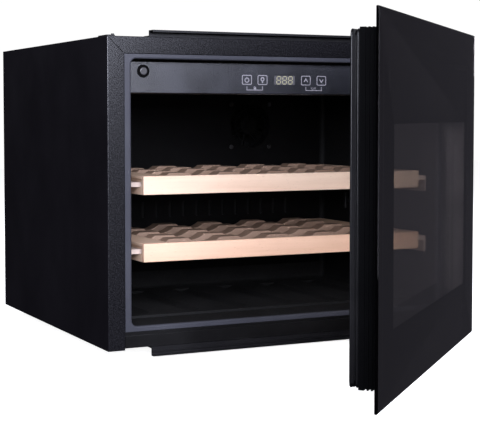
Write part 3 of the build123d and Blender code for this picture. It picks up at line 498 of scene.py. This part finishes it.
fascia_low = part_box("control_fascia")[0]
lens_low, lens_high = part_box("display_window")
mark_z = (lens_low.z + lens_high.z) / 2
POWER_X, LAMP_X, UP_X, DOWN_X = -0.061, -0.036, 0.035, 0.061
KEY_WIDE, KEY_HIGH, KEY_LINE = 0.0146, 0.0128, 0.0011
SINK, MARK_RISE, FIGURE_RISE = 0.00001, 0.00008, 0.00012  # into and above the face that carries them

marks = []
for x in (POWER_X, LAMP_X, UP_X, DOWN_X):
    marks += quads(rounded(x, mark_z, KEY_WIDE, KEY_HIGH, 0.0016), KEY_LINE, True)
# power: an open ring with a bar in its gap
marks += quads(arc(POWER_X, mark_z - 0.0004, 0.0031, 115, 425), 0.0013)
marks += quads([(POWER_X, mark_z + 0.0008), (POWER_X, mark_z + 0.0040)], 0.0013)
# lamp: a bulb over its base
marks += quads(arc(LAMP_X, mark_z + 0.0011, 0.0024, 0, 360, 20), 0.0016)
marks += quads([(LAMP_X, mark_z - 0.0012), (LAMP_X, mark_z - 0.0042)], 0.0022)
# up and down
for x, way in ((UP_X, 1), (DOWN_X, -1)):
    marks += quads([(x - 0.0030, mark_z - way * 0.0020), (x, mark_z + way * 0.0024),
                    (x + 0.0030, mark_z - way * 0.0020)], 0.0015)
# brackets that join each pair of keys
BRACKET_TOP, BRACKET_LOW = mark_z - 0.0092, mark_z - 0.0144
for left, right in ((POWER_X, LAMP_X), (UP_X, DOWN_X)):
    marks += quads([(left, BRACKET_TOP), (left, BRACKET_LOW), (right, BRACKET_LOW), (right, BRACKET_TOP)],
                   0.0010)
# padlock above the left bracket
lock_x, lock_z = (POWER_X + LAMP_X) / 2 + 0.0004, BRACKET_LOW + 0.0022
marks += quads([(lock_x - 0.0019, lock_z), (lock_x + 0.0019, lock_z)], 0.0026)
marks += quads(arc(lock_x - 0.0004, lock_z + 0.0012, 0.0014, -10, 190, 10), 0.0008)
# degree C / F above the right bracket
unit_x, unit_z = (UP_X + DOWN_X) / 2, BRACKET_LOW + 0.0026
for side, letter in ((-1, "C"), (1, "F")):
    x = unit_x + side * 0.0026
    marks += quads(arc(x - 0.0015, unit_z + 0.0012, 0.0005, 0, 360, 8), 0.0004)
    if letter == "C":
        marks += quads(arc(x + 0.0004, unit_z, 0.0013, 50, 310, 10), 0.0006)
    else:
        marks += quads([(x - 0.0004, unit_z - 0.0015), (x - 0.0004, unit_z + 0.0013),
                        (x + 0.0014, unit_z + 0.0013)], 0.0006)
        marks += quads([(x - 0.0004, unit_z), (x + 0.0010, unit_z)], 0.0006)
marks += quads([(unit_x - 0.0006, unit_z - 0.0014), (unit_x + 0.0006, unit_z + 0.0014)], 0.0005)

# the marks are print; their faint bluish glow is painted light, they are no lamp
f = Finish("mark_print_painted_glow")
f.set(colour=f.mix(f.noise(700.0), (0.22, 0.21, 0.23), (0.28, 0.27, 0.29)), rough=0.5,
      normal=f.bump(f.noise(1500.0), 0.00001), glow=0.035, glow_colour=(0.80, 0.78, 0.95))
icons = solid_piece("fascia_marks", marks, fascia_low.y + SINK, fascia_low.y - MARK_RISE, f.material)
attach(icons, "cabinet")

# three seven-segment figures, all segments lit
DIGIT_WIDE, DIGIT_HIGH, DIGIT_STEP, SEGMENT = 0.0063, 0.0108, 0.0095, 0.0014
SLANT, GAP = 0.08, 0.0005


def segment(centre, a, b, u, v):
    """A slanted bar with pointed ends from a to b: across at height v, or upright at u if v is None."""
    half = SEGMENT / 2
    ends = ((a, 0), (a + half, half), (b - half, half), (b, 0), (b - half, -half), (a + half, -half))
    spots = [(along, v + off) if v is not None else (u + off, along) for along, off in ends]
    return [(centre + x + z * SLANT, mark_z + z) for x, z in spots]


segments = []
half_w, half_h = DIGIT_WIDE / 2, DIGIT_HIGH / 2
for digit in (-1, 0, 1):
    for v in (half_h, 0.0, -half_h):
        segments.append(segment(digit * DIGIT_STEP, -half_w + GAP, half_w - GAP, None, v))
    for u in (-half_w, half_w):
        for low, high in ((-half_h + GAP, -GAP), (GAP, half_h - GAP)):
            segments.append(segment(digit * DIGIT_STEP, low, high, u, None))

f = Finish("segment_light")
glow = f.mix(f.noise(900.0), (1.0, 0.92, 0.56), (1.0, 0.95, 0.64))
f.set(colour=(0.12, 0.12, 0.09), rough=f.span(f.noise(1200.0), *NOISE, 0.3, 0.4),
      normal=f.bump(f.noise(1500.0), 0.00001), glow=0.27, glow_colour=glow)
figures = solid_piece("display_figures", segments, lens_low.y + SINK, lens_low.y - FIGURE_RISE, f.material)
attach(figures, "cabinet")


# ---------------------------------------------------------------- painted shade in the flange mitres

SEAM_WIDE, SEAM_SINK, SEAM_RISE = 0.9 * MM, 0.3 * MM, 0.03 * MM
START_IN, START_DOWN = 1.0 * MM, 0.7 * MM  # from the outer corner, which is rounded
header_low, header_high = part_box("top_panel")
strips = []
for side in ("left_side_panel", "right_side_panel"):
    panel_low, panel_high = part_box(side)
    outer, inner = (panel_low.x, panel_high.x) if panel_low.x < 0 else (panel_high.x, panel_low.x)
    inward = math.copysign(START_IN, inner - outer)
    strips += quads([(outer + inward, header_high.z - START_DOWN), (inner, header_low.z)], SEAM_WIDE)
# near-black strips over the mitre joints, painted shade that stands for the dark of the gaps
sealant = solid_piece("mitre_seam_shade", strips, panel_low.y + SEAM_SINK, panel_low.y - SEAM_RISE,
                      moulded("sealant", (0.0008, 0.0008, 0.0009), 0.8, spec=0.02))
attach(sealant, "cabinet")


# ---------------------------------------------------------------- rounded lips of the door gasket

door_turn = math.radians(next(-j["range_deg"][0] for j in frame["joints"] if j["name"] == "door_hinge"))
along_x = Vector((math.cos(door_turn), math.sin(door_turn), 0.0))
along_y = Vector((-math.sin(door_turn), math.cos(door_turn), 0.0))
pivot = (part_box("hinge_pins")[0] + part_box("hinge_pins")[1]) / 2


def door_span(node):
    """Lowest and highest local x, y and z of a door node, measured from the hinge along the door."""
    rows = [(v.co - pivot).dot(along_x) for v in nodes[node].data.vertices]
    cols = [(v.co - pivot).dot(along_y) for v in nodes[node].data.vertices]
    low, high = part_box(node)
    return (min(rows), min(cols), low.z), (max(rows), max(cols), high.z)


def bead(name, local_y, inset, radius, corner, sides=10):
    """A closed round bead that follows the gasket's outline at one depth."""
    (x0, _, z0), (x1, _, z1) = door_span("door_gasket")
    line = rounded((x0 + x1) / 2, (z0 + z1) / 2, x1 - x0 - 2 * inset, z1 - z0 - 2 * inset, corner)
    points, faces = [], []
    count = len(line)
    for i, (x, z) in enumerate(line):
        ahead, behind = Vector(line[(i + 1) % count]), Vector(line[i - 1])
        run = (ahead - behind).normalized()
        outward = Vector((run.y, -run.x))
        for k in range(sides):
            a = 2 * math.pi * k / sides
            u = outward * radius * math.cos(a)
            depth = local_y + radius * math.sin(a)
            here = Vector((pivot.x, pivot.y, 0.0)) + along_x * (x + u.x) + along_y * depth
            points.append((here.x, here.y, z + u.y))
    for i in range(count):
        j = (i + 1) % count
        for k in range(sides):
            m = (k + 1) % sides
            faces.append((i * sides + k, i * sides + m, j * sides + m, j * sides + k))
    piece = mesh_piece(name, points, faces, finishes["gasket_rubber"])
    piece.data.polygons.foreach_set("use_smooth", [True] * len(piece.data.polygons))
    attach(piece, "door")


LIP_INSET, LIP_RADIUS, LIP_CORNER = 0.3 * MM, 1.1 * MM, 5 * MM
OUTER_LIP, INNER_LIP = 1.2 * MM, 8.6 * MM  # depth behind the tip of the gasket
tip_y = door_span("door_gasket")[1][1]
bead("gasket_outer_lip", tip_y - OUTER_LIP, LIP_INSET, LIP_RADIUS, LIP_CORNER)
bead("gasket_inner_lip", tip_y - INNER_LIP, LIP_INSET, LIP_RADIUS, LIP_CORNER)
